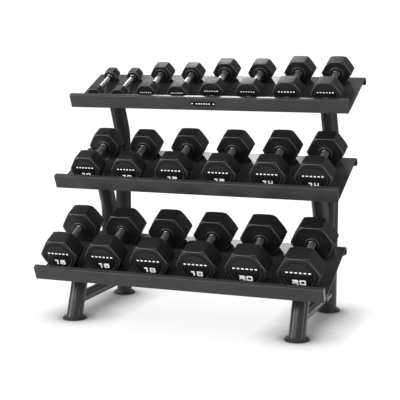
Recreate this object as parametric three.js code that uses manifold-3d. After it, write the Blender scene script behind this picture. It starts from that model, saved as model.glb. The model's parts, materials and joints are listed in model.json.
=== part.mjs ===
// Three-tier dumbbell rack carrying ten pairs of hexagonal dumbbells.
// Millimetres. +X runs along the trays, +Y to the rear, +Z up. The pieces are laid out with the rear posts' axes
// at y = 0; at the end the whole group is moved so that its origin is the middle of its footprint, on the floor.

import * as THREE from "three";
import { mergeVertices } from "three/addons/utils/BufferGeometryUtils.js";
import Module from "manifold-3d";

const wasm = await Module();
wasm.setup();

// ---- driving dimensions ----

const GAP = 0.3; // between pieces that rest on, bolt to or are welded to each other

// Each tier has a frame of its own: x along the tray, s up the slope from the lip's outer face, n square to the floor.
const TILT = THREE.MathUtils.degToRad(23.6);
const TRAY_LENGTH = 1260;
const SHEET = 3;
const LIP_HEIGHT = 56;
const LIP_DEPTH = 26;
const SHEET_BEND = 4.5;
const FLOOR_BEND = 8;
const HEM_DROP = 29;
const HEM_FLARE = 6;
const HEM_FLAT = 17;
const HEM_RETURN = 60;

// Tubes of the two side frames
const FRAME_X = 497;
const TUBE_RADIUS = 35;
const TUBE_WALL = 2.5;
const TUBE_BEND = 190;
const REAR_POST_Y = 0;
const MIDDLE_POST_Y = -155;
const FRONT_FOOT_Y = -518;
const FRONT_LEG_LEAN = THREE.MathUtils.degToRad(20.4);
const RAIL_RADIUS = 25;
const RAIL_WALL = 2;
const RAIL_Z = 80;

// Saddle plates and their bolts
const PLATE_LENGTH = 170;
const PLATE_WIDTH = 84;
const PLATE_THICKNESS = 6;
const PLATE_CORNER = 12;
const BOLT_SPACING = 140;
const BOLT_RADIUS = 5;
const BOLT_HEAD_RADIUS = 9.2;
const BOLT_HEAD_HEIGHT = 6.4;

// Feet
const PAD_RADIUS = 50;
const PAD_HEIGHT = 7.5;
const PAD_EDGE = 2;
const FOOT_PLATE_RADIUS = 45;
const FOOT_PLATE_HEIGHT = 4.5;
const FOOT_PLATE_EDGE = 1;

// Badge
const BADGE_LENGTH = 109;
const BADGE_HEIGHT = 20;
const BADGE_THICKNESS = 1.5;
const BADGE_STUD_RADIUS = 2.5;
const BADGE_STUD_INSET = 6;

// Dumbbells
const GRIP_LENGTH = 136; // between the two heads
const HEAD_CHAMFER = 0.045; // as a part of the width across the flats
const DUMBBELLS = {
  // mass in kg: width of a head across the flats and across the corners, its thickness, radius of the handle, s of
  // the front face
  2: [55, 70, 48, 13, 63],
  4: [82, 105, 55, 14, 55],
  6: [94, 119, 60, 15, 65],
  8: [108, 134, 64, 15, 54],
  10: [120, 147, 72, 16, 55],
  12: [130, 159, 74, 16, 54],
  14: [135, 165, 75, 16, 54],
  16: [143, 175, 83, 16, 70],
  18: [148, 181, 86, 16, 63],
  20: [154, 188, 87, 16, 56],
};

// front: y and z of the corner where the lip's outer face meets the floor plane. depth: from there to the rear edge.
// load: mass in kg and x of each dumbbell.
const TIERS = {
  top: {
    front: [-255, 896],
    depth: 339,
    load: [[2, -542], [2, -426], [4, -284], [4, -136], [6, 19], [6, 183], [8, 358], [8, 524]],
  },
  middle: {
    front: [-413, 553],
    depth: 359,
    load: [[10, -502], [10, -307], [12, -98], [12, 114], [14, 326], [14, 520]],
  },
  bottom: {
    front: [-610, 186],
    depth: 392,
    load: [[16, -540], [16, -334], [18, -122], [18, 86], [20, 300], [20, 519]],
  },
};

// s of the point where each tier's tube meets its saddle plate
const TOP_SEAT = 178;
const MIDDLE_SEAT = 191;

// Facets round a full circle, and steps round a bend
const TUBE_SIDES = 20;
const FOOT_SIDES = 28;
const SMALL_SIDES = 12;
const TUBE_BEND_STEPS = 5;
const SHEET_BEND_STEPS = 3;

const PLATE_TOP = -SHEET - GAP;
const PLATE_BOTTOM = PLATE_TOP - PLATE_THICKNESS;
const FOOT_TOP = PAD_HEIGHT + GAP + FOOT_PLATE_HEIGHT + GAP;
const HANDS = [["left", -1], ["right", 1]];

// ---- materials ----

function finish(color, roughness, metalness) {
  return () => new THREE.MeshStandardMaterial({ color, roughness, metalness });
}
const powderCoat = finish(0x303133, 0.42, 0.3);
const zincPlate = finish(0xb4b6b8, 0.35, 0.9);
const footRubber = finish(0x2a2a2b, 0.6, 0.0);
const badgeBlack = finish(0x0c0c0d, 0.2, 0.0);
const headRubber = finish(0x1d1d1e, 0.5, 0.0);

// ---- solids ----

// A closed geometry as a solid that can be cut and joined.
function solid(geometry) {
  const bare = geometry.clone();
  bare.deleteAttribute("normal");
  bare.deleteAttribute("uv");
  const merged = mergeVertices(bare, 1e-3);
  const mesh = new wasm.Mesh({
    numProp: 3,
    vertProperties: merged.attributes.position.array,
    triVerts: new Uint32Array(merged.index.array),
  });
  return new wasm.Manifold(mesh);
}

// A solid as a geometry again.
function geometryOf(body) {
  const mesh = body.getMesh();
  const geometry = new THREE.BufferGeometry();
  geometry.setAttribute("position", new THREE.BufferAttribute(mesh.vertProperties, mesh.numProp));
  geometry.setIndex(new THREE.BufferAttribute(mesh.triVerts, 1));
  geometry.computeVertexNormals();
  return geometry;
}

// A rod between two points, with flat ends.
function rod(from, to, radius, sides) {
  const along = new THREE.Vector3().subVectors(to, from);
  const middle = new THREE.Vector3().addVectors(from, to).multiplyScalar(0.5);
  const turn = new THREE.Quaternion().setFromUnitVectors(
    new THREE.Vector3(0, 1, 0),
    along.clone().normalize(),
  );
  return new THREE.CylinderGeometry(radius, radius, along.length(), sides)
    .applyQuaternion(turn)
    .translate(middle.x, middle.y, middle.z);
}

// A body turned about the vertical axis, from a profile of [radius, height] pairs, lowest first.
function turned(profile, sides) {
  const points = profile.map(([radius, height]) => new THREE.Vector2(radius, height));
  return new THREE.LatheGeometry(points, sides).rotateX(Math.PI / 2);
}

// An outline of s and n pulled out along x, centred on x = 0.
function extrudeAlongX(outline, length) {
  const x = new THREE.Vector3(1, 0, 0);
  const s = new THREE.Vector3(0, 1, 0);
  const n = new THREE.Vector3(0, 0, 1);
  return new THREE.ExtrudeGeometry(outline, { depth: length, bevelEnabled: false })
    .translate(0, 0, -length / 2)
    .applyMatrix4(new THREE.Matrix4().makeBasis(s, n, x));
}

// The points of a line through the corners, with each inner corner rounded to its bend radius.
function roundedLine(corners, bends) {
  const points = corners.map(([s, n]) => new THREE.Vector2(s, n));
  return points.flatMap((corner, i) => {
    if (i === 0 || i === points.length - 1) return [corner];
    const back = points[i - 1].clone().sub(corner).normalize();
    const ahead = points[i + 1].clone().sub(corner).normalize();
    const half = Math.acos(back.dot(ahead)) / 2;
    const bend = bends[i - 1];
    const centre = back.clone().add(ahead).setLength(bend / Math.sin(half)).add(corner);
    const spoke = back.clone().multiplyScalar(bend / Math.tan(half)).add(corner).sub(centre);
    const turn = (Math.PI - 2 * half) * Math.sign(ahead.cross(back));
    return Array.from({ length: SHEET_BEND_STEPS + 1 }, (_, step) => {
      const origin = new THREE.Vector2();
      return spoke.clone().rotateAround(origin, (turn * step) / SHEET_BEND_STEPS).add(centre);
    });
  });
}

// The outline of a sheet of even thickness whose middle follows the line.
function sheetOutline(line, thickness) {
  const sides = line.map((point, i) => {
    const before = line[i - 1] ?? point.clone().multiplyScalar(2).sub(line[1]);
    const after = line[i + 1] ?? point.clone().multiplyScalar(2).sub(line[i - 1]);
    const arriving = point.clone().sub(before).normalize();
    const leaving = after.clone().sub(point).normalize();
    const travel = arriving.add(leaving).normalize();
    const reach = thickness / 2 / travel.dot(leaving);
    const square = new THREE.Vector2(-travel.y, travel.x).multiplyScalar(reach);
    return [point.clone().add(square), point.clone().sub(square)];
  });
  return new THREE.Shape([...sides.map(([left]) => left), ...sides.map(([, right]) => right).reverse()]);
}

// A point of a tier's own frame, in the rack's frame.
function onTier(tier, x, s, n) {
  const [y, z] = TIERS[tier].front;
  return new THREE.Vector3(
    x,
    y + s * Math.cos(TILT) - n * Math.sin(TILT),
    z + s * Math.sin(TILT) + n * Math.cos(TILT),
  );
}

// ---- assembly ----

const rack = new THREE.Group();

function addPiece(parent, name, geometry, material) {
  const mesh = new THREE.Mesh(geometry, material());
  mesh.name = name;
  parent.add(mesh);
}

// A group that has a tier's own frame.
function tierGroup(tier) {
  const group = new THREE.Group();
  group.position.copy(onTier(tier, 0, 0, 0));
  group.rotation.x = TILT;
  rack.add(group);
  return group;
}

// ---- front legs: straight tubes that lean back from the front feet to the bottom tier ----

const legFoot = new THREE.Vector3(0, FRONT_FOOT_Y, FOOT_TOP);
const legLine = new THREE.Vector3(0, Math.sin(FRONT_LEG_LEAN), Math.cos(FRONT_LEG_LEAN));

// s of the point where the leg's axis meets the underside of the bottom tier's saddle plate
function legSeat() {
  const plateFront = onTier("bottom", 0, 0, PLATE_BOTTOM);
  const square = new THREE.Vector3(0, -Math.sin(TILT), Math.cos(TILT));
  const reach = plateFront.clone().sub(legFoot).dot(square) / legLine.dot(square);
  const meeting = legFoot.clone().addScaledVector(legLine, reach);
  return meeting.distanceTo(plateFront);
}
const SEATS = { top: TOP_SEAT, middle: MIDDLE_SEAT, bottom: legSeat() };

// The leg's axis runs past both ends by this much before the ends are cut.
const OVERRUN = 80;

function legRod(x, radius) {
  const meeting = onTier("bottom", x, SEATS.bottom, PLATE_BOTTOM);
  const from = new THREE.Vector3(x, legFoot.y, legFoot.z).addScaledVector(legLine, -OVERRUN);
  const to = meeting.addScaledVector(legLine, OVERRUN);
  return solid(rod(from, to, radius, TUBE_SIDES));
}

// Everything above the saddle plate's underside, and everything below the top of the foot
function legWaste(x) {
  const size = 4 * OVERRUN;
  const above = new THREE.BoxGeometry(size, size, size).translate(0, 0, size / 2 - GAP).rotateX(TILT);
  const seat = onTier("bottom", x, SEATS.bottom, PLATE_BOTTOM);
  const below = new THREE.BoxGeometry(size, size, size).translate(x, legFoot.y, FOOT_TOP - size / 2);
  return solid(above.translate(seat.x, seat.y, seat.z)).add(solid(below));
}

function legGeometry(x) {
  const tube = legRod(x, TUBE_RADIUS).subtract(legRod(x, TUBE_RADIUS - TUBE_WALL));
  return geometryOf(tube.subtract(legWaste(x)));
}

// ---- posts: upright tubes that bend forward to meet a tier squarely ----

function postGeometry(x, y, tier, footZ) {
  const end = onTier(tier, x, SEATS[tier], PLATE_BOTTOM - GAP);
  const leaning = (y - end.y) / Math.sin(TILT);
  const tangent = TUBE_BEND * Math.tan(TILT / 2);
  const straight = end.z - leaning * Math.cos(TILT) - tangent - footZ;
  const arc = TUBE_BEND * TILT;
  const bendHeights = Array.from(
    { length: TUBE_BEND_STEPS + 1 },
    (_, step) => straight + (arc * step) / TUBE_BEND_STEPS,
  );
  const heights = [0, ...bendHeights, straight + arc + leaning - tangent];
  const outside = heights.map((height) => [TUBE_RADIUS, height]);
  const inside = heights.map((height) => [TUBE_RADIUS - TUBE_WALL, height]).reverse();
  const tube = turned([...outside, ...inside, outside[0]], TUBE_SIDES);
  bendForward(tube.attributes.position, straight);
  return tube.translate(x, y, footZ);
}

// Moves the points of an upright tube so that it bends forward by the tilt, starting at the given height.
function bendForward(points, start) {
  for (let i = 0; i < points.count; i++) {
    const y = points.getY(i);
    const turn = THREE.MathUtils.clamp((points.getZ(i) - start) / TUBE_BEND, 0, TILT);
    const beyond = points.getZ(i) - start - turn * TUBE_BEND;
    const centreY = -TUBE_BEND * (1 - Math.cos(turn));
    const centreZ = start + TUBE_BEND * Math.sin(turn);
    points.setY(i, centreY + y * Math.cos(turn) - beyond * Math.sin(turn));
    points.setZ(i, centreZ + y * Math.sin(turn) + beyond * Math.cos(turn));
  }
}

// ---- side rails, and the middle posts that stand astride them ----

function railRod(x, radius) {
  const from = new THREE.Vector3(x, FRONT_FOOT_Y, RAIL_Z);
  const to = new THREE.Vector3(x, REAR_POST_Y, RAIL_Z);
  return solid(rod(from, to, radius, TUBE_SIDES));
}

function uprightRod(x, y, radius) {
  const from = new THREE.Vector3(x, y, 0);
  const to = new THREE.Vector3(x, y, 2 * RAIL_Z);
  return solid(rod(from, to, radius, TUBE_SIDES));
}

function railGeometry(x) {
  const tube = railRod(x, RAIL_RADIUS).subtract(railRod(x, RAIL_RADIUS - RAIL_WALL));
  const clearance = TUBE_RADIUS + GAP;
  const inFrontOfLeg = new THREE.BoxGeometry(2 * clearance, 2 * clearance, 2 * clearance)
    .translate(x, FRONT_FOOT_Y - clearance / 2, RAIL_Z);
  return geometryOf(
    tube
      .subtract(legRod(x, clearance))
      .subtract(solid(inFrontOfLeg))
      .subtract(uprightRod(x, REAR_POST_Y, clearance)),
  );
}

function middlePostGeometry(x) {
  const post = solid(postGeometry(x, MIDDLE_POST_Y, "middle", RAIL_Z));
  return geometryOf(post.subtract(railRod(x, RAIL_RADIUS + GAP)));
}

for (const [hand, side] of HANDS) {
  const x = side * FRAME_X;
  addPiece(rack, `rear_post_${hand}`, postGeometry(x, REAR_POST_Y, "top", FOOT_TOP), powderCoat);
  addPiece(rack, `middle_post_${hand}`, middlePostGeometry(x), powderCoat);
  addPiece(rack, `front_leg_${hand}`, legGeometry(x), powderCoat);
  addPiece(rack, `side_rail_${hand}`, railGeometry(x), powderCoat);
}

// ---- feet ----

const padProfile = [
  [0, 0],
  [PAD_RADIUS - PAD_EDGE, 0],
  [PAD_RADIUS, PAD_EDGE],
  [PAD_RADIUS, PAD_HEIGHT - PAD_EDGE],
  [PAD_RADIUS - PAD_EDGE, PAD_HEIGHT],
  [0, PAD_HEIGHT],
];
const footPlateProfile = [
  [0, 0],
  [FOOT_PLATE_RADIUS, 0],
  [FOOT_PLATE_RADIUS, FOOT_PLATE_HEIGHT - FOOT_PLATE_EDGE],
  [FOOT_PLATE_RADIUS - FOOT_PLATE_EDGE, FOOT_PLATE_HEIGHT],
  [0, FOOT_PLATE_HEIGHT],
];

for (const [hand, side] of HANDS) {
  for (const [end, y] of [["front", FRONT_FOOT_Y], ["rear", REAR_POST_Y]]) {
    const x = side * FRAME_X;
    const pad = turned(padProfile, FOOT_SIDES).translate(x, y, 0);
    const plate = turned(footPlateProfile, FOOT_SIDES).translate(x, y, PAD_HEIGHT + GAP);
    addPiece(rack, `foot_pad_${end}_${hand}`, pad, footRubber);
    addPiece(rack, `foot_plate_${end}_${hand}`, plate, powderCoat);
  }
}

// ---- trays, saddle plates and bolts, each in its tier's own frame ----

// The places of the two bolts that hold a tier to one side frame
function boltPlaces(tier, side) {
  return [["front", -1], ["rear", 1]].map(([end, way]) => {
    return { end, x: side * FRAME_X, s: SEATS[tier] + (way * BOLT_SPACING) / 2 };
  });
}

function uprightOnTier(x, s, from, to, radius, sides) {
  return solid(rod(new THREE.Vector3(x, s, from), new THREE.Vector3(x, s, to), radius, sides));
}

// The body with its bolt holes cut through everything from one height to another.
function drilled(body, places, from, to) {
  return places.reduce((rest, { x, s }) => {
    return rest.subtract(uprightOnTier(x, s, from, to, BOLT_RADIUS + GAP, SMALL_SIDES));
  }, body);
}

// One folded sheet: the lip's outer face, its top and its inner face, the floor, and the hem folded under it.
function trayGeometry(tier) {
  const { depth } = TIERS[tier];
  const half = SHEET / 2;
  const line = roundedLine(
    [
      [half, -SHEET],
      [half, LIP_HEIGHT - half],
      [LIP_DEPTH - half, LIP_HEIGHT - half],
      [LIP_DEPTH - half, -half],
      [depth - half, -half],
      [depth - half + HEM_FLARE, -HEM_DROP],
      [depth - half + HEM_FLARE - HEM_FLAT, -HEM_DROP - half],
      [depth - HEM_RETURN, -2 * SHEET],
    ],
    [SHEET_BEND, SHEET_BEND, FLOOR_BEND, SHEET_BEND, SHEET_BEND, SHEET_BEND],
  );
  const sheet = solid(extrudeAlongX(sheetOutline(line, SHEET), TRAY_LENGTH));
  const capped = HANDS.reduce((body, [, side]) => {
    const cap = new THREE.BoxGeometry(SHEET, LIP_DEPTH - SHEET, LIP_HEIGHT)
      .translate((side * (TRAY_LENGTH - SHEET)) / 2, LIP_DEPTH / 2, LIP_HEIGHT / 2 - half);
    return body.add(solid(cap));
  }, sheet);
  const places = HANDS.flatMap(([, side]) => boltPlaces(tier, side));
  return geometryOf(drilled(capped, places, -2 * SHEET, SHEET));
}

function saddlePlateGeometry(tier, side) {
  const halfWidth = PLATE_WIDTH / 2 - PLATE_CORNER;
  const halfLength = PLATE_LENGTH / 2 - PLATE_CORNER;
  const quarter = Math.PI / 2;
  const outline = new THREE.Shape()
    .absarc(halfWidth, -halfLength, PLATE_CORNER, -quarter, 0)
    .absarc(halfWidth, halfLength, PLATE_CORNER, 0, quarter)
    .absarc(-halfWidth, halfLength, PLATE_CORNER, quarter, 2 * quarter)
    .absarc(-halfWidth, -halfLength, PLATE_CORNER, 2 * quarter, 3 * quarter);
  const plate = new THREE.ExtrudeGeometry(outline, {
    depth: PLATE_THICKNESS,
    bevelEnabled: false,
    curveSegments: 3,
  }).translate(side * FRAME_X, SEATS[tier], PLATE_BOTTOM);
  return geometryOf(drilled(solid(plate), boltPlaces(tier, side), 2 * PLATE_BOTTOM, 0));
}

// A hexagon bolt with its head under the saddle plate and its end just below the tray's floor surface
function boltGeometry({ x, s }) {
  const headTop = PLATE_BOTTOM - GAP;
  const headBottom = headTop - BOLT_HEAD_HEIGHT;
  const head = uprightOnTier(x, s, headBottom, headTop, BOLT_HEAD_RADIUS, 6);
  const shank = uprightOnTier(x, s, headBottom + 1, -GAP, BOLT_RADIUS, SMALL_SIDES);
  return geometryOf(head.add(shank));
}

function badgeGeometry() {
  const plate = new THREE.BoxGeometry(BADGE_LENGTH, BADGE_THICKNESS, BADGE_HEIGHT)
    .translate(0, -GAP - BADGE_THICKNESS / 2, LIP_HEIGHT / 2);
  const withStuds = HANDS.reduce((body, [, side]) => {
    const x = side * (BADGE_LENGTH / 2 - BADGE_STUD_INSET);
    const back = new THREE.Vector3(x, -GAP - BADGE_THICKNESS / 2, LIP_HEIGHT / 2);
    const front = new THREE.Vector3(x, -GAP - BADGE_THICKNESS - 1, LIP_HEIGHT / 2);
    return body.add(solid(rod(back, front, BADGE_STUD_RADIUS, SMALL_SIDES)));
  }, solid(plate));
  return geometryOf(withStuds);
}

// ---- dumbbells: two hexagonal heads with chamfered ends on a round handle, axis up the slope ----

function dumbbellGeometry(kg, x) {
  const [across, width, thick, handleRadius, faceS] = DUMBBELLS[kg];
  const corner = across / Math.sqrt(3);
  const stretch = width / 2 / corner;
  const chamfer = HEAD_CHAMFER * across;
  const heads = [0, thick + GRIP_LENGTH].map((start) => {
    const profile = [
      [0, start],
      [corner - chamfer, start],
      [corner, start + chamfer],
      [corner, start + thick - chamfer],
      [corner - chamfer, start + thick],
      [0, start + thick],
    ].map(([radius, along]) => new THREE.Vector2(radius, along));
    return solid(new THREE.LatheGeometry(profile, 6, Math.PI / 6).scale(stretch, 1, 1));
  });
  const handleStart = new THREE.Vector3(0, thick / 2, 0);
  const handleEnd = new THREE.Vector3(0, thick * 1.5 + GRIP_LENGTH, 0);
  const handle = solid(rod(handleStart, handleEnd, handleRadius, SMALL_SIDES));
  return geometryOf(heads[0].add(handle).add(heads[1])).translate(x, faceS, across / 2 + GAP);
}

for (const [tier, { load }] of Object.entries(TIERS)) {
  const group = tierGroup(tier);
  addPiece(group, `${tier}_tray`, trayGeometry(tier), powderCoat);
  for (const [hand, side] of HANDS) {
    addPiece(group, `${tier}_saddle_plate_${hand}`, saddlePlateGeometry(tier, side), powderCoat);
    for (const place of boltPlaces(tier, side)) {
      addPiece(group, `${tier}_bolt_${hand}_${place.end}`, boltGeometry(place), zincPlate);
    }
  }
  load.forEach(([kg, x], i) => {
    const hand = HANDS[i % 2][0];
    addPiece(group, `dumbbell_${kg}kg_${hand}`, dumbbellGeometry(kg, x), headRubber);
  });
  if (tier === "top") addPiece(group, "badge_plate", badgeGeometry(), badgeBlack);
}

// ---- origin: the middle of the footprint ----

const extent = new THREE.Box3().setFromObject(rack, true);
rack.position.y = -(extent.min.y + extent.max.y) / 2;

export default rack;
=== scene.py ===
"""The looks of a three-tier dumbbell rack with its dumbbells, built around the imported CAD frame.

Metres, in the row's frame: +X along the trays, +Y to the rear, +Z up. Each tier also has directions of its
own: x along the tray, s up the slope of its floor and n square to its floor. A tier's pieces are made in x, s
and n about a centre of their own, and are then turned by the tilt.
"""

import json
import math

import bmesh
import bpy
from mathutils import Matrix, Vector


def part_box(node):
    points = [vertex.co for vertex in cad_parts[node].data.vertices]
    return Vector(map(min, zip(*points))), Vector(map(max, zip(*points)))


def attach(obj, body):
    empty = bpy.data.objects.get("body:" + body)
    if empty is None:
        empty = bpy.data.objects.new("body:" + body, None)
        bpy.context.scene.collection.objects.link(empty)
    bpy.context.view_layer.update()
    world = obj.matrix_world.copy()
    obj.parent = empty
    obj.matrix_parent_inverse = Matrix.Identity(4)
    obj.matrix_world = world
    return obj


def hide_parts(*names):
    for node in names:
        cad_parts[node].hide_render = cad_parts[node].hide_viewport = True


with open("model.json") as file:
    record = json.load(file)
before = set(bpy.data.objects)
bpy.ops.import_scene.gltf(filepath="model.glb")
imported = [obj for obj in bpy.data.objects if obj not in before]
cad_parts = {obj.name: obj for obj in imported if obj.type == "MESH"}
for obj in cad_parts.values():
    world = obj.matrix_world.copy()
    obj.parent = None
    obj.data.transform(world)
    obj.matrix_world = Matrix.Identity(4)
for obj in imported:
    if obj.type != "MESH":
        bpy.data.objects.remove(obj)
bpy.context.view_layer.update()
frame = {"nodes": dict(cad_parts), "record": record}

# ---- sizes that the CAD boxes don't give ----

TILT = math.radians(23.6)
TIER_TURN = Matrix.Rotation(TILT, 4, "X")

# Folded sheet of the trays
SHEET = 0.003
LIP_HEIGHT = 0.056
LIP_DEPTH = 0.026
SHEET_BEND = 0.0045
FLOOR_BEND = 0.008
HEM_DROP = 0.029
HEM_FLARE = 0.006
HEM_FLAT = 0.017
HEM_RETURN = 0.060
HEM_UNDER = 0.006

# Tubes of the side frames, and the beads that weld them
TUBE_BEND = 0.190
LEG_LEAN = math.radians(20.4)
TUBE_SIDES = 64
WELD_RADIUS = 0.0022
WELD_RIPPLE_LENGTH = 0.0052
WELD_RIPPLE_DEPTH = 0.10

# Bolts
BOLT_HEAD_HEIGHT = 0.0064
BOLT_SHANK_RADIUS = 0.005
WASHER_RADIUS = 0.0098
BOLT_END_RADIUS = 0.0088
BOLT_END_RISE = 0.0005

# Dumbbells, with shares of a head's width across its flats
GRIP_LENGTH = 0.136
HANDLE_RADII = {2: 0.013, 4: 0.014, 6: 0.015, 8: 0.015}
WIDEST_HANDLE = 0.016
COLLAR_LENGTH = 0.0072
WEIGHTS = range(2, 22, 2)
LARGE_HEAD = 0.11
CONE_SHARE = {"small": 0.505, "large": 0.515}
CONE_SLOPE = {"small": 1.3, "large": 1.4}
HEAD_CORNER_SHARE = 0.020
HEAD_EDGE = 0.0020
GROOVE_SHARE = 0.390
GROOVE_DEPTH = 0.0040
GRIP_RING_RADIUS = 0.0265

HANDS = (("left", -1), ("right", 1))
TIERS = ("top", "middle", "bottom")
FRAME_BODY = "frame"


# ---- boxes of CAD nodes ----


def tier_box(node):
    """The lowest and highest corners of a CAD node in x, s and n, measured from the row's origin."""
    turn = TIER_TURN.to_3x3().inverted()
    points = [turn @ vertex.co for vertex in frame["nodes"][node].data.vertices]
    low = Vector([min(point[i] for point in points) for i in range(3)])
    high = Vector([max(point[i] for point in points) for i in range(3)])
    return low, high


def middle(corners):
    """The middle of a box."""
    low, high = corners
    return (low + high) / 2


# ---- materials ----


def new_material(name):
    """A material with its node tree and its shader."""
    material = bpy.data.materials.new(name)
    material.use_nodes = True
    tree = material.node_tree
    return material, tree, tree.nodes["Principled BSDF"]


def add_node(tree, kind, settings=(), inputs=()):
    """A node with its settings and its unlinked or linked inputs, given as pairs."""
    node = tree.nodes.new(kind)
    for name, value in settings:
        setattr(node, name, value)
    for name, value in inputs:
        if isinstance(value, bpy.types.NodeSocket):
            tree.links.new(value, node.inputs[name])
        else:
            node.inputs[name].default_value = value
    return node


def noise(tree, place, scale, detail, roughness=0.5):
    """Noise with that many features a metre."""
    inputs = [("Vector", place), ("Scale", scale), ("Detail", detail), ("Roughness", roughness)]
    return add_node(tree, "ShaderNodeTexNoise", (), inputs).outputs["Fac"]


def between(tree, factor, low, high):
    """A factor from 0.3 to 0.7, where most noise lies, spread over low to high."""
    inputs = [("Value", factor), ("From Min", 0.3), ("From Max", 0.7), ("To Min", low), ("To Max", high)]
    return add_node(tree, "ShaderNodeMapRange", (), inputs).outputs["Result"]


def mixed(tree, factor, dark, light):
    """A colour between two, by a factor from 0.3 to 0.7."""
    ramp = add_node(tree, "ShaderNodeValToRGB", (), [("Fac", factor)])
    ramp.color_ramp.elements[0].position = 0.3
    ramp.color_ramp.elements[0].color = (*dark, 1)
    ramp.color_ramp.elements[1].position = 0.7
    ramp.color_ramp.elements[1].color = (*light, 1)
    return ramp.outputs["Color"]


def bump(tree, height, strength, distance, normal=None):
    """A bumped normal, on top of another if one is given."""
    inputs = [("Height", height), ("Strength", strength), ("Distance", distance)]
    if normal is not None:
        inputs.append(("Normal", normal))
    return add_node(tree, "ShaderNodeBump", (), inputs).outputs["Normal"]


def object_place(tree):
    return add_node(tree, "ShaderNodeTexCoord").outputs["Object"]


def maths(tree, operation, *values):
    """A Math node's result."""
    node = add_node(tree, "ShaderNodeMath", [("operation", operation)], enumerate(values))
    return node.outputs[0]


def powder_coat():
    """Semi-gloss charcoal powder coat: a fine orange peel, with slightly uneven tone and gloss."""
    material, tree, shader = new_material("powder_coat")
    place = object_place(tree)
    tone = noise(tree, place, 14, detail=4)
    peel = noise(tree, place, 420, detail=1)
    grit = noise(tree, place, 1500, detail=2)
    dark, light = (0.0240, 0.0242, 0.0248), (0.0310, 0.0312, 0.0320)
    tree.links.new(mixed(tree, tone, dark, light), shader.inputs["Base Color"])
    tree.links.new(between(tree, grit, 0.17, 0.23), shader.inputs["Roughness"])
    soft = bump(tree, peel, 0.04, 0.0003)
    tree.links.new(bump(tree, grit, 0.03, 0.0001, soft), shader.inputs["Normal"])
    shader.inputs["Specular IOR Level"].default_value = 0.25
    return material


def head_rubber():
    """Moulded black rubber: a fine matt grain, with faint cloudy handling marks."""
    material, tree, shader = new_material("head_rubber")
    place = object_place(tree)
    grain = noise(tree, place, 900, detail=3, roughness=0.6)
    cloud = noise(tree, place, 22, detail=5, roughness=0.6)
    dark, light = (0.0070, 0.0070, 0.0072), (0.0100, 0.0100, 0.0102)
    tree.links.new(mixed(tree, cloud, dark, light), shader.inputs["Base Color"])
    uneven = maths(tree, "ADD", between(tree, cloud, 0.34, 0.44), between(tree, grain, -0.03, 0.03))
    tree.links.new(uneven, shader.inputs["Roughness"])
    tree.links.new(bump(tree, grain, 0.12, 0.0002), shader.inputs["Normal"])
    shader.inputs["Specular IOR Level"].default_value = 0.25
    return material


def edge_rubber():
    """The same rubber, smoother and glossier, and far lighter to paint a highlight along the moulded edges.
    """
    material, tree, shader = new_material("edge_rubber")
    place = object_place(tree)
    wear_and_sheen = noise(tree, place, 60, detail=4, roughness=0.6)
    # Far lighter than the head rubber's own colour: a painted highlight on the edges.
    dark, light = (0.056, 0.056, 0.057), (0.098, 0.098, 0.099)
    tree.links.new(mixed(tree, wear_and_sheen, dark, light), shader.inputs["Base Color"])
    tree.links.new(between(tree, wear_and_sheen, 0.24, 0.36), shader.inputs["Roughness"])
    tree.links.new(bump(tree, noise(tree, place, 900, detail=2), 0.08, 0.0003), shader.inputs["Normal"])
    shader.inputs["Specular IOR Level"].default_value = 0.6
    return material


def chrome():
    """Polished chrome plate with a faint haze."""
    material, tree, shader = new_material("polished_chrome")
    haze = noise(tree, object_place(tree), 60, detail=4)
    dark, light = (0.36, 0.36, 0.37), (0.44, 0.44, 0.45)
    tree.links.new(mixed(tree, haze, dark, light), shader.inputs["Base Color"])
    tree.links.new(between(tree, haze, 0.16, 0.26), shader.inputs["Roughness"])
    shader.inputs["Metallic"].default_value = 1
    return material


def knurled_chrome(radius):
    """Chrome with a diamond knurl: ridges that wind both ways round a handle along the piece's Y."""
    material, tree, shader = new_material(f"knurled_chrome_{round(radius * 1000)}")
    pitch = 0.0017
    ridges = round(2 * math.pi * radius / pitch)
    place = object_place(tree)
    parts = add_node(tree, "ShaderNodeSeparateXYZ", (), [("Vector", place)])
    angle = maths(tree, "ARCTAN2", parts.outputs["Z"], parts.outputs["X"])
    turn = maths(tree, "MULTIPLY", angle, ridges)
    along = maths(tree, "MULTIPLY", parts.outputs["Y"], 2 * math.pi / pitch)
    one_way = maths(tree, "SINE", maths(tree, "ADD", turn, along))
    other_way = maths(tree, "SINE", maths(tree, "SUBTRACT", turn, along))
    diamonds = maths(tree, "ADD", one_way, other_way)
    height = maths(tree, "MULTIPLY_ADD", diamonds, 0.25, 0.5)
    haze = noise(tree, place, 60, detail=4)
    dark, light = (0.54, 0.54, 0.55), (0.66, 0.66, 0.67)
    tree.links.new(mixed(tree, haze, dark, light), shader.inputs["Base Color"])
    tree.links.new(between(tree, haze, 0.14, 0.21), shader.inputs["Roughness"])
    tree.links.new(bump(tree, height, 0.24, 0.0003), shader.inputs["Normal"])
    shader.inputs["Metallic"].default_value = 0.92
    return material


def collar_steel():
    """Darker bare steel of the collars at the ends of the knurled grips, a little blotchy."""
    material, tree, shader = new_material("collar_steel")
    film = noise(tree, object_place(tree), 180, detail=4)
    dark, light = (0.10, 0.10, 0.104), (0.16, 0.16, 0.166)
    tree.links.new(mixed(tree, film, dark, light), shader.inputs["Base Color"])
    tree.links.new(between(tree, film, 0.28, 0.40), shader.inputs["Roughness"])
    shader.inputs["Metallic"].default_value = 1
    return material


def white_print():
    """Thick white marking, slightly uneven where it is rubbed."""
    material, tree, shader = new_material("white_print")
    wear_and_sheen = noise(tree, object_place(tree), 160, detail=5, roughness=0.65)
    dark, light = (0.93, 0.93, 0.925), (0.97, 0.97, 0.965)
    tree.links.new(mixed(tree, wear_and_sheen, dark, light), shader.inputs["Base Color"])
    tree.links.new(between(tree, wear_and_sheen, 0.34, 0.48), shader.inputs["Roughness"])
    return material


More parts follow.
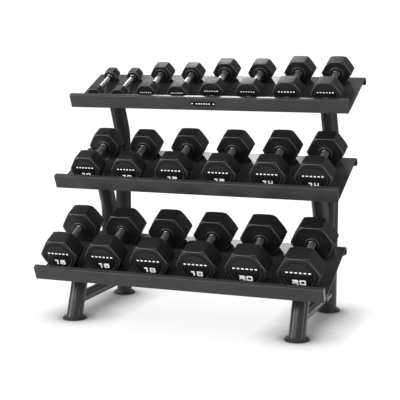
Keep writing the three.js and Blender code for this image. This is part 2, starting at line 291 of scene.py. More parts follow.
def foot_rubber():
    """Dark rubber of the feet, a little greyer than the heads and duller."""
    material, tree, shader = new_material("foot_rubber")
    place = object_place(tree)
    grain = noise(tree, place, 1100, detail=2)
    cloud = noise(tree, place, 40, detail=4)
    dark, light = (0.010, 0.010, 0.0102), (0.015, 0.015, 0.0153)
    tree.links.new(mixed(tree, cloud, dark, light), shader.inputs["Base Color"])
    tree.links.new(between(tree, grain, 0.45, 0.60), shader.inputs["Roughness"])
    tree.links.new(bump(tree, grain, 0.14, 0.0003), shader.inputs["Normal"])
    return material


def zinc_plate():
    """Bright zinc on the bolts, with a blotchy passivated film."""
    material, tree, shader = new_material("zinc_plate")
    film = noise(tree, object_place(tree), 240, detail=4)
    dark, light = (0.46, 0.47, 0.49), (0.60, 0.60, 0.58)
    tree.links.new(mixed(tree, film, dark, light), shader.inputs["Base Color"])
    tree.links.new(between(tree, film, 0.26, 0.40), shader.inputs["Roughness"])
    shader.inputs["Metallic"].default_value = 1
    return material


def badge_black():
    """Gloss black badge plate."""
    material, tree, shader = new_material("badge_black")
    haze = noise(tree, object_place(tree), 90, detail=3)
    dark, light = (0.004, 0.004, 0.0045), (0.006, 0.006, 0.0065)
    tree.links.new(mixed(tree, haze, dark, light), shader.inputs["Base Color"])
    tree.links.new(between(tree, haze, 0.16, 0.24), shader.inputs["Roughness"])
    shader.inputs["Specular IOR Level"].default_value = 0.1
    return material


# ---- outlines ----

# Below this turn, in radians, a corner counts as straight.
NEARLY_STRAIGHT = 1e-3


def rounded(corners, radii, steps):
    """The line through flat corners, with each inner corner rounded as far as its sides leave room."""
    points = [Vector(corner) for corner in corners]
    line = [points[0]]
    for before, corner, after, radius in zip(points, points[1:], points[2:], radii):
        back = before - corner
        ahead = after - corner
        half = back.angle(ahead) / 2
        reach = min(radius / math.tan(half), 0.45 * min(back.length, ahead.length))
        arc_start = corner + back.normalized() * reach
        turn = math.pi - 2 * half
        if turn < NEARLY_STRAIGHT:
            line += [corner] * (steps + 1)
            continue
        inward = (back.normalized() + ahead.normalized()).normalized()
        centre = corner + inward * reach / math.cos(half)
        sign = -math.copysign(1, back.cross(ahead))
        for i in range(steps + 1):
            line.append(centre + Matrix.Rotation(sign * turn * i / steps, 2) @ (arc_start - centre))
    return [*line, points[-1]]


def loop(corners, radius, steps):
    """A closed outline through flat corners, each rounded to the radius."""
    count = len(corners)
    outline = []
    for i in range(count):
        trio = [corners[i - 1], corners[i], corners[(i + 1) % count]]
        outline += rounded(trio, [radius], steps)[1:-1]
    return outline


def rectangle(x0, y0, x1, y1):
    return [(x0, y0), (x1, y0), (x1, y1), (x0, y1)]


def centred_plate(width, height, corner, inset, steps):
    """The outline of a plate with rounded corners about its middle, drawn in by an inset."""
    right = width / 2 - inset
    top = height / 2 - inset
    return loop(rectangle(-right, -top, right, top), corner - inset, steps)


def stroke_sides(line, width):
    """The two sides of a stroke of even width along a flat line."""
    left, right = [], []
    for i, point in enumerate(line):
        arriving = (point - line[i - 1]).normalized() if i else (line[1] - point).normalized()
        leaving = (line[i + 1] - point).normalized() if i + 1 < len(line) else arriving
        travel = (arriving + leaving).normalized()
        square = Vector((-travel.y, travel.x)) * (width / 2 / travel.dot(leaving))
        left.append(point + square)
        right.append(point - square)
    return left, right


def circle(radius, count):
    return [Vector((radius * math.cos(t), radius * math.sin(t))) for t in turns(count)]


def turns(count):
    """Even angles of a full circle."""
    return [2 * math.pi * i / count for i in range(count)]


# ---- meshes ----


class Skin:
    """The points and faces of a piece, gathered shell by shell. A finish numbers a material of the piece."""

    def __init__(self):
        self.points = []
        self.faces = []
        self.finishes = []

    def add_face(self, corners, finish):
        self.faces.append(corners)
        self.finishes.append(finish)

    def loft(self, rings, finish=0, caps=True, joined=False):
        """Faces from ring to ring, and round to the first if joined. finish may be one for each strip."""
        first = len(self.points)
        count = len(rings[0])
        for ring in rings:
            self.points += [Vector(point) for point in ring]
        for i in range(len(rings) if joined else len(rings) - 1):
            strip_finish = finish if isinstance(finish, int) else finish[i]
            near = first + i * count
            far = first + (i + 1) % len(rings) * count
            for j in range(count):
                k = (j + 1) % count
                self.add_face((near + j, near + k, far + k, far + j), strip_finish)
        if caps and not joined:
            last = len(self.points) - count
            end_finish = finish if isinstance(finish, int) else 0
            self.add_face(tuple(reversed(range(first, first + count))), end_finish)
            self.add_face(tuple(range(last, last + count)), end_finish)

    def slab(self, outlines, place, low, high):
        """A flat shape with holes, from low to high. place makes a point from a flat point and a height."""
        flat = bmesh.new()
        edges = []
        for outline in outlines:
            corners = [flat.verts.new((*point, 0)) for point in outline]
            edges += [flat.edges.new((a, b)) for a, b in zip(corners, corners[1:] + corners[:1])]
        bmesh.ops.triangle_fill(flat, edges=edges, use_beauty=True)
        flat.verts.index_update()
        first = len(self.points)
        count = len(flat.verts)
        for height in (low, high):
            self.points += [Vector(place(vertex.co.x, vertex.co.y, height)) for vertex in flat.verts]
        for face in flat.faces:
            corners = [first + vertex.index for vertex in face.verts]
            self.add_face(tuple(corners), 0)
            self.add_face(tuple(corner + count for corner in reversed(corners)), 0)
        for edge in edges:
            a, b = (first + vertex.index for vertex in edge.verts)
            self.add_face((a, b, b + count, a + count), 0)
        flat.free()

    def piece(self, name, materials, body, centre=(0, 0, 0), turn=None, sharp=35):
        """The piece as an object at its centre, riding on a CAD body."""
        mesh = bpy.data.meshes.new(name)
        mesh.from_pydata(self.points, [], self.faces)
        for material in materials:
            mesh.materials.append(material)
        mesh.polygons.foreach_set("material_index", self.finishes)
        work = bmesh.new()
        work.from_mesh(mesh)
        bmesh.ops.recalc_face_normals(work, faces=work.faces)
        work.to_mesh(mesh)
        work.free()
        mesh.shade_smooth()
        mesh.set_sharp_from_angle(angle=math.radians(sharp))
        piece = bpy.data.objects.new(name, mesh)
        bpy.context.scene.collection.objects.link(piece)
        piece.matrix_world = (turn or Matrix.Identity(4)) @ Matrix.Translation(centre)
        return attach(piece, body)


def turned(skin, profile, sides, finish=0, axis="Z", caps=True):
    """A body turned about an axis, from a profile of radius and height."""
    rings = []
    for radius, height in profile:
        flat = circle(radius, sides)
        if axis == "Z":
            rings.append([(x, y, height) for x, y in flat])
        else:
            rings.append([(x, height, z) for x, z in flat])
    skin.loft(rings, finish, caps)


def bead(skin, path, across):
    """A rippled weld bead along a closed path. across is a direction that the path never follows."""
    count = len(path)
    rings = []
    travelled = 0
    for i, point in enumerate(path):
        travel = (path[(i + 1) % count] - path[i - 1]).normalized()
        side = travel.cross(across).normalized()
        up = side.cross(travel)
        travelled += (point - path[i - 1]).length
        ripple = math.sin(2 * math.pi * travelled / WELD_RIPPLE_LENGTH)
        radius = WELD_RADIUS * (1 + WELD_RIPPLE_DEPTH * ripple)
        rings.append([point + (side * x + up * y) * radius for x, y in circle(1, 10)])
    skin.loft(rings, joined=True)


# ---- trays ----


def sheet_line(depth):
    """The middle of the folded sheet in s and n: the lip, the floor and the hem folded under it."""
    half = SHEET / 2
    corners = [
        (half, -SHEET),
        (half, LIP_HEIGHT - half),
        (LIP_DEPTH - half, LIP_HEIGHT - half),
        (LIP_DEPTH - half, -half),
        (depth - half, -half),
        (depth - half + HEM_FLARE, -HEM_DROP),
        (depth - half + HEM_FLARE - HEM_FLAT, -HEM_DROP - half),
        (depth - HEM_RETURN, -HEM_UNDER),
    ]
    radii = [SHEET_BEND, SHEET_BEND, FLOOR_BEND, SHEET_BEND, SHEET_BEND, SHEET_BEND]
    return rounded(corners, radii, steps=8)


def make_tray(tier, coat):
    """A tray of one folded sheet, with a plate that closes each end of its lip."""
    node = f"{tier}_tray"
    low, high = tier_box(node)
    front = Vector((0, low.y, high.z - LIP_HEIGHT))
    depth = high.y - low.y - HEM_FLARE
    left, right = stroke_sides(sheet_line(depth), SHEET)
    outline = left + right[::-1]
    skin = Skin()
    soft = 0.0004
    half = (high.x - low.x) / 2
    inner = inset_outline(left, right, soft)
    skin.loft(
        [
            [(-half, *point) for point in inner],
            [(-half + soft, *point) for point in outline],
            [(half - soft, *point) for point in outline],
            [(half, *point) for point in inner],
        ],
    )
    for _, side in HANDS:
        lip_cap(skin, side, half)
    piece = skin.piece(node + "_sheet", [coat], FRAME_BODY, front, TIER_TURN, sharp=40)
    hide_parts(node)


def inset_outline(left, right, depth):
    """The outline of a stroke, drawn in by a depth on both its sides."""
    pairs = list(zip(left, right))
    near = [a + (b - a).normalized() * depth for a, b in pairs]
    far = [b + (a - b).normalized() * depth for a, b in pairs]
    return near + far[::-1]


def lip_cap(skin, side, half):
    """The plate that closes one end of the lip, welded in just inside the folded sheet."""
    soft = 0.0006
    overlap = 0.0004
    recess = 0.0002
    reach = overlap - SHEET
    corners = rectangle(-reach, -SHEET / 2, LIP_DEPTH + reach, LIP_HEIGHT + reach)
    outline = loop(corners, SHEET_BEND / 2, 4)
    centre = Vector((LIP_DEPTH / 2, (LIP_HEIGHT - SHEET) / 2))
    drawn_in = [point + (centre - point).normalized() * soft for point in outline]
    outer, face, inner = (side * (half - x) for x in (recess, recess + soft, SHEET))
    skin.loft(
        [
            [(inner, *point) for point in outline],
            [(face, *point) for point in outline],
            [(outer, *point) for point in drawn_in],
        ],
    )


# ---- saddle plates and bolts ----


def make_saddle_plate(tier, hand, coat):
    """The plate on the upper end of a tube, which carries a tray."""
    node = f"{tier}_saddle_plate_{hand}"
    low, high = tier_box(node)
    size = high - low
    corner = 0.012
    soft = 0.0009
    outer = centred_plate(size.x, size.y, corner, 0, 6)
    inner = centred_plate(size.x, size.y, corner, soft, 6)
    skin = Skin()
    half = size.z / 2
    rings = [(inner, -half), (outer, soft - half), (outer, half - soft), (inner, half)]
    skin.loft([[(*point, height) for point in outline] for outline, height in rings])
    piece = skin.piece(node + "_steel", [coat], FRAME_BODY, middle((low, high)), TIER_TURN)
    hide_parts(node)


def make_bolt(tier, hand, end, zinc):
    """A hexagon bolt under the saddle plate, with a washer, and its flat round end in the tray's floor."""
    node = f"{tier}_bolt_{hand}_{end}"
    low, high = tier_box(node)
    centre = middle((low, high))
    flats = (high.y - low.y) * math.cos(math.pi / 6)
    base = low.z - centre.z
    top = high.z - centre.z
    soft = 0.0004
    skin = Skin()
    hexagon_head(
        skin,
        flats,
        BOLT_HEAD_HEIGHT,
        cone=0.465 * flats,
        slope=0.6,
        corner_radius=0.0003,
        edge=0.0003,
        at=base,
        axis="Z",
        turn=0.5,
    )
    washer = base + BOLT_HEAD_HEIGHT
    washer_profile = [
        (WASHER_RADIUS - 5 * soft, washer - 2 * soft),
        (WASHER_RADIUS, washer - soft / 2),
        (WASHER_RADIUS, washer + soft),
    ]
    turned(skin, washer_profile, 32)
    shank = BOLT_SHANK_RADIUS
    turned(skin, [(shank, washer), (shank, top - soft), (shank - 0.0006, top)], 24)
    face = top + BOLT_END_RISE
    end_profile = [
        (BOLT_END_RADIUS, face - 0.0007),
        (BOLT_END_RADIUS, face - 0.0003),
        (BOLT_END_RADIUS - soft, face),
        (0.0040, face),
        (0.0034, face - 0.0002),
        (0.0032, face - 0.0004),
    ]
    turned(skin, end_profile, 32)
    piece = skin.piece(node + "_zinc", [zinc], FRAME_BODY, centre, TIER_TURN)
    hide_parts(node)


# ---- side frames ----

UP = Vector((0, 0, 1))


def bent_line(seat_y, seat_z, post_y, bottom):
    """The axis of a post in y and z: upright, then bent forward by the tilt to end at the saddle plate."""
    leaning = (post_y - seat_y) / math.sin(TILT)
    corner = (post_y, seat_z - leaning * math.cos(TILT))
    return rounded([(post_y, bottom), corner, (seat_y, seat_z)], [TUBE_BEND], steps=14)


def ring_round(point, along, radius, x):
    """A ring of a tube about a point of its axis in y and z."""
    across = Vector((-along.y, along.x))
    ring = []
    for u, v in circle(radius, TUBE_SIDES):
        place = point - across * v
        ring.append(Vector((x + u, place.x, place.y)))
    return ring


def post_rings(line, radius, x):
    """The rings of a tube along its axis."""
    rings = []
    for i, point in enumerate(line):
        before = line[max(i - 1, 0)]
        after = line[min(i + 1, len(line) - 1)]
        rings.append(ring_round(point, (after - before).normalized(), radius, x))
    return rings


def seat_of(tier, hand):
    """The y and z of the middle of a saddle plate's underside."""
    low, high = tier_box(f"{tier}_saddle_plate_{hand}")
    centre = TIER_TURN @ Vector((0, (low.y + high.y) / 2, low.z))
    return centre.y, centre.z


def seat_weld(tier, hand, x, radius):
    """The path where an upright tube meets a saddle plate squarely."""
    low, high = tier_box(f"{tier}_saddle_plate_{hand}")
    s = (low.y + high.y) / 2
    return [TIER_TURN @ Vector((x + u, s + v, low.z)) for u, v in circle(radius, 3 * TUBE_SIDES)]


def make_post(name, tier, hand, coat):
    """A rear post, which stands on its foot plate, or a middle post, which stands astride its side rail."""
    node = f"{name}_{hand}"
    low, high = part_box(node)
    x = (low.x + high.x) / 2
    radius = (high.x - low.x) / 2
    post_y = high.y - radius
    line = bent_line(*seat_of(tier, hand), post_y, low.z)
    rings = post_rings(line, radius, x)
    skin = Skin()
    if name == "middle_post":
        rail_low, rail_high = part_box(f"side_rail_{hand}")
        rings[0] = astride(rings[0], x, rail_low, rail_high)
        foot_weld = finer(rings[0])
    else:
        foot_weld = [Vector((x + u, post_y + v, low.z)) for u, v in circle(radius, 3 * TUBE_SIDES)]
    bead(skin, foot_weld, UP)
    skin.loft(rings)
    bead(skin, seat_weld(tier, hand, x, radius), UP)
    piece = skin.piece(node + "_tube", [coat], FRAME_BODY)
    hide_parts(node)


def finer(ring):
    """A ring as a path with two more points between each two."""
    path = []
    for i, point in enumerate(ring):
        after = ring[(i + 1) % len(ring)]
        path += [point.lerp(after, t / 3) for t in range(3)]
    return path


def astride(ring, x, rail_low, rail_high):
    """The lowest ring of a tube, brought down onto the rail that it stands on."""
    rail_radius = (rail_high.z - rail_low.z) / 2
    rail_z = (rail_high.z + rail_low.z) / 2
    landed = []
    for point in ring:
        off = min(abs(point.x - x), rail_radius)
        landed.append(Vector((point.x, point.y, rail_z + math.sqrt(rail_radius**2 - off**2))))
    return landed


class Leg:
    """The straight leaning tube of a front leg, between its foot plate and its saddle plate."""

    def __init__(self, hand):
        low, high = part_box(f"front_leg_{hand}")
        foot_low, foot_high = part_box(f"foot_plate_front_{hand}")
        self.x = (low.x + high.x) / 2
        self.radius = (high.x - low.x) / 2
        self.foot = Vector((self.x, (foot_low.y + foot_high.y) / 2, low.z))
        self.along = Vector((0, math.sin(LEG_LEAN), math.cos(LEG_LEAN)))
        self.square = TIER_TURN.to_3x3() @ UP
        seat_y, seat_z = seat_of("bottom", hand)
        self.seat = Vector((self.x, seat_y, seat_z))

    def ring(self, plane, normal, count):
        """Where the tube's wall meets a plane."""
        across = Vector((0, math.cos(LEG_LEAN), -math.sin(LEG_LEAN)))
        ring = []
        for u, v in circle(self.radius, count):
            start = self.foot + Vector((u, 0, 0)) + across * v
            ring.append(start + self.along * (plane - start).dot(normal) / self.along.dot(normal))
        return ring


def make_front_leg(hand, coat):
    """A front leg, cut level at its foot plate and square to the tray at its saddle plate."""
    node = f"front_leg_{hand}"
    leg = Leg(hand)
    bottom = leg.ring(leg.foot, UP, TUBE_SIDES)
    top = leg.ring(leg.seat, leg.square, TUBE_SIDES)
    steps = 10
    rings = [[a.lerp(b, i / steps) for a, b in zip(bottom, top)] for i in range(steps + 1)]
    skin = Skin()
    skin.loft(rings)
    bead(skin, leg.ring(leg.foot, UP, 3 * TUBE_SIDES), UP)
    bead(skin, leg.ring(leg.seat, leg.square, 3 * TUBE_SIDES), UP)
    piece = skin.piece(node + "_tube", [coat], FRAME_BODY)
    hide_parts(node)


def make_side_rail(hand, coat):
    """The low rail from the front leg to the rear post, with its ends cut to fit round both."""
    node = f"side_rail_{hand}"
    low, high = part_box(node)
    x = (low.x + high.x) / 2
    z = (low.z + high.z) / 2
    radius = (high.z - low.z) / 2
    leg = Leg(hand)
    post_low, post_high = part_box(f"rear_post_{hand}")
    post_radius = (post_high.x - post_low.x) / 2
    post_y = post_high.y - post_radius

    def ends(count):
        """The two end rings, where the rail meets the leg and the post."""
        front, rear = [], []
        for u, v in circle(radius, count):
            rise = (z + v - leg.foot.z) * math.sin(LEG_LEAN)
            y = leg.foot.y + (rise + math.sqrt(leg.radius**2 - u**2)) / math.cos(LEG_LEAN)
            front.append(Vector((x + u, y, z + v)))
            rear.append(Vector((x + u, post_y - math.sqrt(post_radius**2 - u**2), z + v)))
        return front, rear

    front, rear = ends(TUBE_SIDES)
    steps = 8
    skin = Skin()
    skin.loft([[a.lerp(b, i / steps) for a, b in zip(front, rear)] for i in range(steps + 1)])
    for path in ends(3 * TUBE_SIDES):
        bead(skin, path, Vector((0, 1, 0)))
    piece = skin.piece(node + "_tube", [coat], FRAME_BODY)
    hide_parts(node)


def make_foot(end, hand, coat, rubber):
    """A round foot plate and the wider rubber pad under it."""
    for name, material, slot, profile in (
        ("foot_plate", coat, "powder_coat", foot_plate_profile),
        ("foot_pad", rubber, "foot_rubber", foot_pad_profile),
    ):
        node = f"{name}_{end}_{hand}"
        low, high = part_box(node)
        skin = Skin()
        turned(skin, profile((high.x - low.x) / 2, high.z - low.z), 96)
        centre = Vector(((low.x + high.x) / 2, (low.y + high.y) / 2, low.z))
        piece = skin.piece(node + "_disc", [material], FRAME_BODY, centre)
        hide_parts(node)


def foot_plate_profile(radius, height):
    """A plain disc with softened edges, from the middle of its underside to the middle of its top."""
    corners = [(0.004, 0), (radius, 0), (radius, height), (0.004, height)]
    return rounded(corners, [0.0008, 0.0012], 4)


def foot_pad_profile(radius, height):
    """Outside, a thin groove under the top edge; underneath, a shallow ring groove."""
    groove = 0.0009
    corners = [
        (0.006, 0.0012),
        (radius * 0.55, 0.0012),
        (radius * 0.60, 0),
        (radius - 0.001, 0),
        (radius, 0.0014),
        (radius, height * 0.62),
        (radius - groove, height * 0.66),
        (radius, height * 0.70),
        (radius, height - 0.0012),
        (radius - 0.0014, height),
        (0.006, height),
    ]
    return rounded(corners, [0.0006] * (len(corners) - 2), 3)


# ---- badge ----

BADGE_THICKNESS = 0.0015
BADGE_CORNER = 0.0022
STUD_FROM_END = 0.006
BLOCKS = 6
BLOCK_SHARE = 0.56


def block_row(pitch, low, high):
    """A row of plain blocks with rounded corners, in place of a name."""
    width = BLOCK_SHARE * pitch
    radius = 0.15 * (high - low)
    blocks = []
    for i in range(BLOCKS):
        left = (i - (BLOCKS - 1) / 2) * pitch - width / 2
        blocks.append(loop(rectangle(left, low, left + width, high), radius, 3))
    return blocks


def make_badge(coat, white):
    """A gloss plate on the top tray's lip, with a white stud at each end and a row of blocks between them."""
    low, high = tier_box("badge_plate")
    length = high.x - low.x
    height = high.z - low.z
    centre = Vector(((low.x + high.x) / 2, high.y, (low.z + high.z) / 2))
    soft = 0.0003
    outer = centred_plate(length, height, BADGE_CORNER, 0, 5)
    inner = centred_plate(length, height, BADGE_CORNER, soft, 5)
    skin = Skin()
    depths = [(inner, 0), (outer, -soft), (outer, soft - BADGE_THICKNESS), (inner, -BADGE_THICKNESS)]
    skin.loft([[(x, depth, z) for x, z in outline] for outline, depth in depths])
    piece = skin.piece("badge_gloss", [coat], FRAME_BODY, centre, TIER_TURN)
    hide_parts("badge_plate")
    marks = Skin()
    for _, side in HANDS:
        dome = [(0.0030, 0.0002), (0.0028, -0.0004), (0.0020, -0.0008), (0.0008, -0.0010)]
        first = len(marks.points)
        turned(marks, dome, 28, axis="Y")
        place = Vector((side * (length / 2 - STUD_FROM_END), -BADGE_THICKNESS, 0))
        marks.points[first:] = [point + place for point in marks.points[first:]]
    for block in block_row(length * 0.105, -0.0019, 0.0019):
        marks.slab([block], lambda x, z, y: (x, y, z), 0.0001 - BADGE_THICKNESS, -0.0003 - BADGE_THICKNESS)
    piece = marks.piece("badge_marks", [white], FRAME_BODY, centre, TIER_TURN)


# ---- dumbbells ----


def hexagon(across, corner_radius, per_side, per_corner):
    """The angle and radius of points round a hexagon with flats above and below, and rounded corners."""
    tip = across / math.sqrt(3)
    corners = [(tip * math.cos(t), tip * math.sin(t)) for t in turns(6)]
    outline = []
    for i in range(6):
        trio = [corners[i - 1], corners[i], corners[(i + 1) % 6]]
        after = [corners[i], corners[(i + 1) % 6], corners[(i + 2) % 6]]
        bend = rounded(trio, [corner_radius], per_corner)[1:-1]
        flat_end = rounded(after, [corner_radius], per_corner)[1]
        outline += bend
        outline += [bend[-1].lerp(flat_end, t / per_side) for t in range(1, per_side)]
    return [(math.atan2(point.y, point.x), point.length) for point in outline]


def hexagon_head(
    skin,
    across,
    thick,
    cone,
    slope,
    corner_radius,
    edge,
    at,
    axis="Y",
    way=1,
    turn=0.0,
    face=(),
    grip=(),
    stretch=1.0,
    edge_finish=0,
):
    """A hexagonal block whose corners are cut back by a cone at both ends, like a bolt's head.

    It runs from at, thick long in the way given. cone is the cone's radius where it meets the end faces,
    slope how fast it widens, and edge the radius of all edges. face and grip are more rings on the outer and
    inner end faces, as radius and height above that face, from the middle outwards on the first and inwards
    on the second, each with the finish of the strip that follows it. edge_finish is the finish of the rounded
    edges at both ends. turn is in sixths of a circle, and stretch widens the block along x.
    """
    steps = 3
    columns = []
    for angle, radius in hexagon(across, corner_radius, 8, 5):
        rim = min(cone, radius - 0.6 * edge)
        cut = max((radius - cone) / slope, 0.6 * edge)
        corners = [
            (rim - 2 * edge, 0),
            (rim, 0),
            (radius, cut),
            (radius, thick - cut),
            (rim, thick),
            (rim - 2 * edge, thick),
        ]
        profile = rounded(corners, [edge] * 4, steps)
        line = [(r, -h) for r, h, _ in face] + list(profile) + [(r, thick + h) for r, h, _ in grip]
        columns.append((angle + turn * math.pi / 3, line))
    rings = []
    for i in range(len(columns[0][1])):
        ring = []
        for angle, line in columns:
            radius, along = line[i]
            x, z = radius * math.cos(angle) * stretch, radius * math.sin(angle)
            place = at + way * along
            ring.append((x, place, z) if axis == "Y" else (x, z, place))
        rings.append(ring)
    rim_strips = [0, *[edge_finish] * steps, 0, *[edge_finish] * steps]
    face_strips = [finish for _, _, finish in face]
    grip_strips = [finish for _, _, finish in grip]
    strips = face_strips + rim_strips + [0] + rim_strips[::-1] + grip_strips
    skin.loft(rings, strips)


def face_rings(across):
    """The outer end face, from its middle out: a shallow dish, then a round groove with a painted highlight
    on its outer edge.
    """
    groove = GROOVE_SHARE * across
    dish = -0.0004
    return [
        (0.10 * across, dish, 0),
        (groove - 0.0036, dish, 0),
        (groove - 0.0022, -0.0008, 0),
        (groove - 0.0016, -GROOVE_DEPTH, 0),
        (groove + 0.0010, -GROOVE_DEPTH, 0),
        (groove + 0.0015, -0.0006, 1),
        (groove + 0.0026, 0, 0),
    ]


def grip_rings(handle, across):
    """The inner end face, inwards: a thin raised ring round the handle, with a painted highlight on its outer
    edge.
    """
    ring = min(GRIP_RING_RADIUS, 0.47 * across)
    rise = 0.0014
    return [
        (ring + 0.0008, 0, 0),
        (ring + 0.0004, 0.0003, 1),
        (ring - 0.0002, rise - 0.0003, 1),
        (ring - 0.0009, rise, 0),
        (ring - 0.0024, rise, 0),
        (ring - 0.0034, 0, 0),
        (handle + 0.0025, 0, 0),
    ]


def make_heads(node, centre, width, across, thick, handle, rubbers):
    """The two rubber heads of a dumbbell, in one piece."""
    skin = Skin()
    size = "large" if across >= LARGE_HEAD else "small"
    for way in (1, -1):
        hexagon_head(
            skin,
            across,
            thick,
            cone=CONE_SHARE[size] * across,
            slope=CONE_SLOPE[size],
            corner_radius=HEAD_CORNER_SHARE * across,
            edge=HEAD_EDGE,
            at=-way * (GRIP_LENGTH / 2 + thick),
            way=way,
            face=face_rings(across),
            grip=grip_rings(handle, across),
            stretch=width / (across * 2 / math.sqrt(3)),
            # Finish 1 paints a highlight on the rounded edges at both ends.
            edge_finish=1,
        )
    piece = skin.piece(node + "_heads", rubbers, body_of(node), centre, TIER_TURN, sharp=50)
    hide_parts(node)


def make_handle(node, centre, radius, finishes):
    """A round bar: a low collar and a neck at each head, in the first finish, and the grip in the second."""
    half = GRIP_LENGTH / 2
    collar = radius + 0.0014
    neck = radius - 0.0006
    sides = 56
    skin = Skin()
    for side in (1, -1):
        corners = [
            (collar, side * (half + 0.0040)),
            (collar, side * (half - 0.0030)),
            (neck, side * (half - 0.0046)),
            (neck, side * (half - 0.0064)),
            (radius, side * (half - COLLAR_LENGTH)),
        ]
        profile = rounded(corners, [0.0008, 0.0006, 0.0004], 3)
        turned(skin, profile, sides, axis="Y", caps=False)
    grip = half - COLLAR_LENGTH
    steps = 12
    profile = [(radius, grip * (2 * i / steps - 1)) for i in range(steps + 1)]
    turned(skin, profile, sides, finish=1, axis="Y", caps=False)
    piece = skin.piece(node + "_handle", finishes, body_of(node), centre, TIER_TURN)


# Numerals are drawn one unit high. These are in that unit.
NUMERAL_WIDTH = 1.12
NUMERAL_STROKE = 0.26
NUMERAL_GAP = 0.20

# The marks on a head, in shares of its width across the flats
NUMERAL_HEIGHT_SHARE = 0.148
NUMERAL_MIDDLE_SHARE = -0.209
BLOCK_PITCH_SHARE = 0.120
BLOCK_LOW_SHARE = 0.067
BLOCK_HIGH_SHARE = 0.103
PRINT_SUNK = 0.0005
PRINT_RISE = 0.0002


def open_stroke(points):
    """The outline of an open stroke with rounded bends."""
    bends = [0.10] * (len(points) - 2)
    left, right = stroke_sides(rounded(points, bends, 4), NUMERAL_STROKE)
    return [left + right[::-1]]


def numeral(digit):
    """The shapes of a wide square-set digit, each as its outline and holes. 8 is what is left at the end."""
    half = NUMERAL_STROKE / 2
    left, right, top, mid = half, NUMERAL_WIDTH - half, 1 - half, 0.5
    thin = 0.8 * NUMERAL_STROKE
    outer = loop(rectangle(0, 0, NUMERAL_WIDTH, 1), 0.16, 5)

    def hole(low, high):
        return loop(rectangle(NUMERAL_STROKE, low, NUMERAL_WIDTH - NUMERAL_STROKE, high), 0.04, 3)

    if digit == "0":
        return [[outer, hole(NUMERAL_STROKE, 1 - NUMERAL_STROKE)]]
    if digit == "1":
        stem_right = right - 0.10
        stem_left = stem_right - 0.32
        flag_left, flag_low = 0.20, 0.72
        corners = [(stem_right, 0), (stem_left, 0), (stem_left, flag_low), (flag_left, flag_low)]
        return [[loop([(flag_left, 1), (stem_right, 1), *corners], 0.03, 3)]]
    if digit == "2":
        path = [(0.02, top), (right, top), (right, mid), (left, mid), (left, half), (NUMERAL_WIDTH, half)]
        return [open_stroke(path)]
    if digit == "4":
        bar = 0.36
        bar_end = NUMERAL_WIDTH - 0.12 - NUMERAL_STROKE
        upright = rectangle(bar_end, 0, bar_end + NUMERAL_STROKE, 1)
        return [open_stroke([(left, 1), (left, bar), (bar_end, bar)]), [[Vector(p) for p in upright]]]
    if digit == "6":
        lower = loop(rectangle(0, 0, NUMERAL_WIDTH, mid + half), 0.14, 5)
        tail = open_stroke([(left, mid + half - 0.08), (left, top), (NUMERAL_WIDTH - 0.02, top)])
        return [[lower, hole(thin, mid - half * 0.6)], tail]
    return [[outer, hole(thin, mid - half * 0.6), hole(mid + half * 0.6, 1 - thin)]]


def make_markings(node, centre, kg, across, thick, white):
    """On both outer faces, a row of plain blocks above the middle and the mass in kilograms below it."""
    reach = GRIP_LENGTH / 2 + thick
    digits = str(kg)
    height = NUMERAL_HEIGHT_SHARE * across
    step = (NUMERAL_WIDTH + NUMERAL_GAP) * height
    total = len(digits) * step - NUMERAL_GAP * height
    base = NUMERAL_MIDDLE_SHARE * across - height / 2
    blocks = block_row(BLOCK_PITCH_SHARE * across, BLOCK_LOW_SHARE * across, BLOCK_HIGH_SHARE * across)
    skin = Skin()
    for way in (-1, 1):

        def on_face(x, z, rise):
            return (-way * x, way * (reach + rise), z)

        for block in blocks:
            skin.slab([block], on_face, -PRINT_SUNK, PRINT_RISE)
        for i, digit in enumerate(digits):
            start = i * step - total / 2
            for shape in numeral(digit):
                outlines = [[(start + p.x * height, base + p.y * height) for p in line] for line in shape]
                skin.slab(outlines, on_face, -PRINT_SUNK, PRINT_RISE)
    piece = skin.piece(node + "_markings", [white], body_of(node), centre, TIER_TURN, sharp=30)


def body_of(node):
    """The CAD body of a dumbbell's node."""
    bodies = frame["record"]["behaviour"]["bodies"]
    return next(body for body, nodes in bodies.items() if node in nodes)


def make_dumbbells():
    """All dumbbells, each with its heads, handle and marks. The 2 kg pair has plain polished handles."""
    # The second rubber is the painted highlight on the heads' rounded edges, groove edge and grip ring.
    rubbers = [head_rubber(), edge_rubber()]
    polished = chrome()
    collar = collar_steel()
    white = white_print()
    knurled = {radius: knurled_chrome(radius) for radius in {*HANDLE_RADII.values(), WIDEST_HANDLE}}
    for kg in WEIGHTS:
        for hand, _ in HANDS:
            node = f"dumbbell_{kg}kg_{hand}"
            low, high = tier_box(node)
            centre = middle((low, high))
            across = high.z - low.z
            thick = (high.y - low.y - GRIP_LENGTH) / 2
            radius = HANDLE_RADII.get(kg, WIDEST_HANDLE)
            finishes = [polished, polished] if kg == 2 else [collar, knurled[radius]]
            make_heads(node, centre, high.x - low.x, across, thick, radius, rubbers)
            make_handle(node, centre, radius, finishes)
            make_markings(node, centre, kg, across, thick, white)


def make_frame():
    """The rack itself: everything that is fixed."""
    coat = powder_coat()
    zinc = zinc_plate()
    rubber = foot_rubber()
    for tier in TIERS:
        make_tray(tier, coat)
        for hand, _ in HANDS:
            make_saddle_plate(tier, hand, coat)
            for end in ("front", "rear"):
                make_bolt(tier, hand, end, zinc)
    for hand, _ in HANDS:
        make_post("rear_post", "top", hand, coat)
        make_post("middle_post", "middle", hand, coat)
        make_front_leg(hand, coat)
        make_side_rail(hand, coat)
        for end in ("front", "rear"):
            make_foot(end, hand, coat, rubber)
    make_badge(badge_black(), white_print())


# ---- studio ----

CAMERA_PLACE = (1.6406, -4.3788, 1.1977)
CAMERA_DOWN = math.radians(8.376)
CAMERA_LEFT = math.radians(20.63)
CAMERA_LENS = 98.9
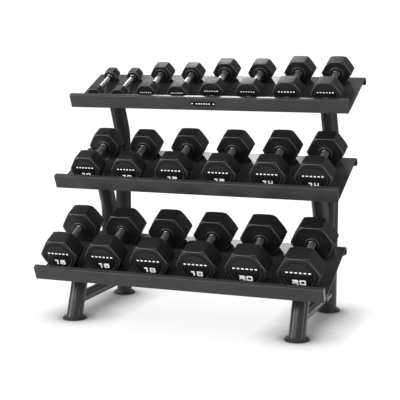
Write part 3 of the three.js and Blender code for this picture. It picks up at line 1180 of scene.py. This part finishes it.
# Name, place, what it points at, width, height and power in watts
LIGHTS = (
    ("top_rear", (-1.32, 2.72, 4.06), (0, 0, 0.7), 1.15, 0.85, 38),
    ("left", (-3.2, -2.2, 1.6), (0, 0, 0.6), 2.0, 2.4, 95),
    ("right", (3.3, -0.5, 0.9), (0, 0, 0.5), 0.8, 2.4, 22),
    ("front_fill", (-1.7, -4.6, 3.2), (0, -0.3, 0.6), 3.0, 1.6, 130),
)
FLOOR_RADIUS = 2.0
# Reach in metres and power of the darkening near whatever stands on the floor or hangs low over it
CONTACT_SHADOWS = ((0.07, 1.4), (0.19, 3.6), (0.60, 0.10))
WORLD_STRENGTH = 1.1
WORLD_LOW_IN_GLOSS = 0.15
WORLD_HIGH_IN_GLOSS = 0.5


def make_camera():
    """The camera stands to the right of the rack's middle and looks slightly down at it."""
    data = bpy.data.cameras.new("camera")
    data.sensor_width = 36
    data.lens = CAMERA_LENS
    data.clip_end = 100
    camera = bpy.data.objects.new("camera", data)
    camera.location = CAMERA_PLACE
    camera.rotation_euler = (math.pi / 2 - CAMERA_DOWN, 0, CAMERA_LEFT)
    bpy.context.scene.collection.objects.link(camera)
    bpy.context.scene.camera = camera


def area_light(name, place, target, width, height, power):
    """A rectangular light that points at its target."""
    data = bpy.data.lights.new(name, "AREA")
    data.shape = "RECTANGLE"
    data.size = width
    data.size_y = height
    data.energy = power
    light = bpy.data.objects.new(name, data)
    light.location = place
    light.rotation_euler = (Vector(target) - Vector(place)).to_track_quat("-Z", "Y").to_euler()
    bpy.context.scene.collection.objects.link(light)


def make_floor():
    """A round pale floor, which glows evenly and darkens near whatever stands on it or hangs low over it."""
    mesh = bpy.data.meshes.new("floor")
    sides = 96
    mesh.from_pydata([(x, y, 0) for x, y in circle(FLOOR_RADIUS, sides)], [], [tuple(range(sides))])
    material, tree, shader = new_material("floor_paper")
    tone = noise(tree, object_place(tree), 0.7, detail=2)
    tree.links.new(mixed(tree, tone, (0.11, 0.11, 0.11), (0.13, 0.13, 0.13)), shader.inputs["Base Color"])
    light = 1.0
    for reach, power in CONTACT_SHADOWS:
        near = add_node(tree, "ShaderNodeAmbientOcclusion", [("samples", 16)], [("Distance", reach)])
        light = maths(tree, "MULTIPLY", light, maths(tree, "POWER", near.outputs["AO"], power))
    tree.links.new(light, shader.inputs["Emission Strength"])
    shader.inputs["Emission Color"].default_value = (0.90, 0.90, 0.90, 1)
    shader.inputs["Roughness"].default_value = 0.9
    shader.inputs["Specular IOR Level"].default_value = 0.1
    mesh.materials.append(material)
    floor = bpy.data.objects.new("floor", mesh)
    bpy.context.scene.collection.objects.link(floor)


def make_world():
    """White all round. Glossy surfaces see it darker: grey overhead, nearly dark at eye level and below."""
    world = bpy.data.worlds.new("studio")
    world.use_nodes = True
    tree = world.node_tree
    path = add_node(tree, "ShaderNodeLightPath")
    direction = add_node(tree, "ShaderNodeTexCoord").outputs["Generated"]
    way = add_node(tree, "ShaderNodeSeparateXYZ", (), [("Vector", direction)])
    heights = [("Value", way.outputs["Z"]), ("From Min", 0.02), ("From Max", 0.45)]
    strengths = [("To Min", WORLD_LOW_IN_GLOSS), ("To Max", WORLD_HIGH_IN_GLOSS)]
    smooth = [("interpolation_type", "SMOOTHSTEP")]
    rise = add_node(tree, "ShaderNodeMapRange", smooth, heights + strengths).outputs["Result"]
    choice = [("Factor", path.outputs["Is Glossy Ray"]), ("A", WORLD_STRENGTH), ("B", rise)]
    strength = add_node(tree, "ShaderNodeMix", [("data_type", "FLOAT")], choice).outputs["Result"]
    background = tree.nodes["Background"]
    background.inputs["Color"].default_value = (1, 1, 1, 1)
    tree.links.new(strength, background.inputs["Strength"])
    bpy.context.scene.world = world


def make_lights():
    for settings in LIGHTS:
        area_light(*settings)


bpy.context.scene.view_settings.view_transform = "Standard"
make_camera()
make_floor()
make_world()
make_lights()
make_frame()
make_dumbbells()
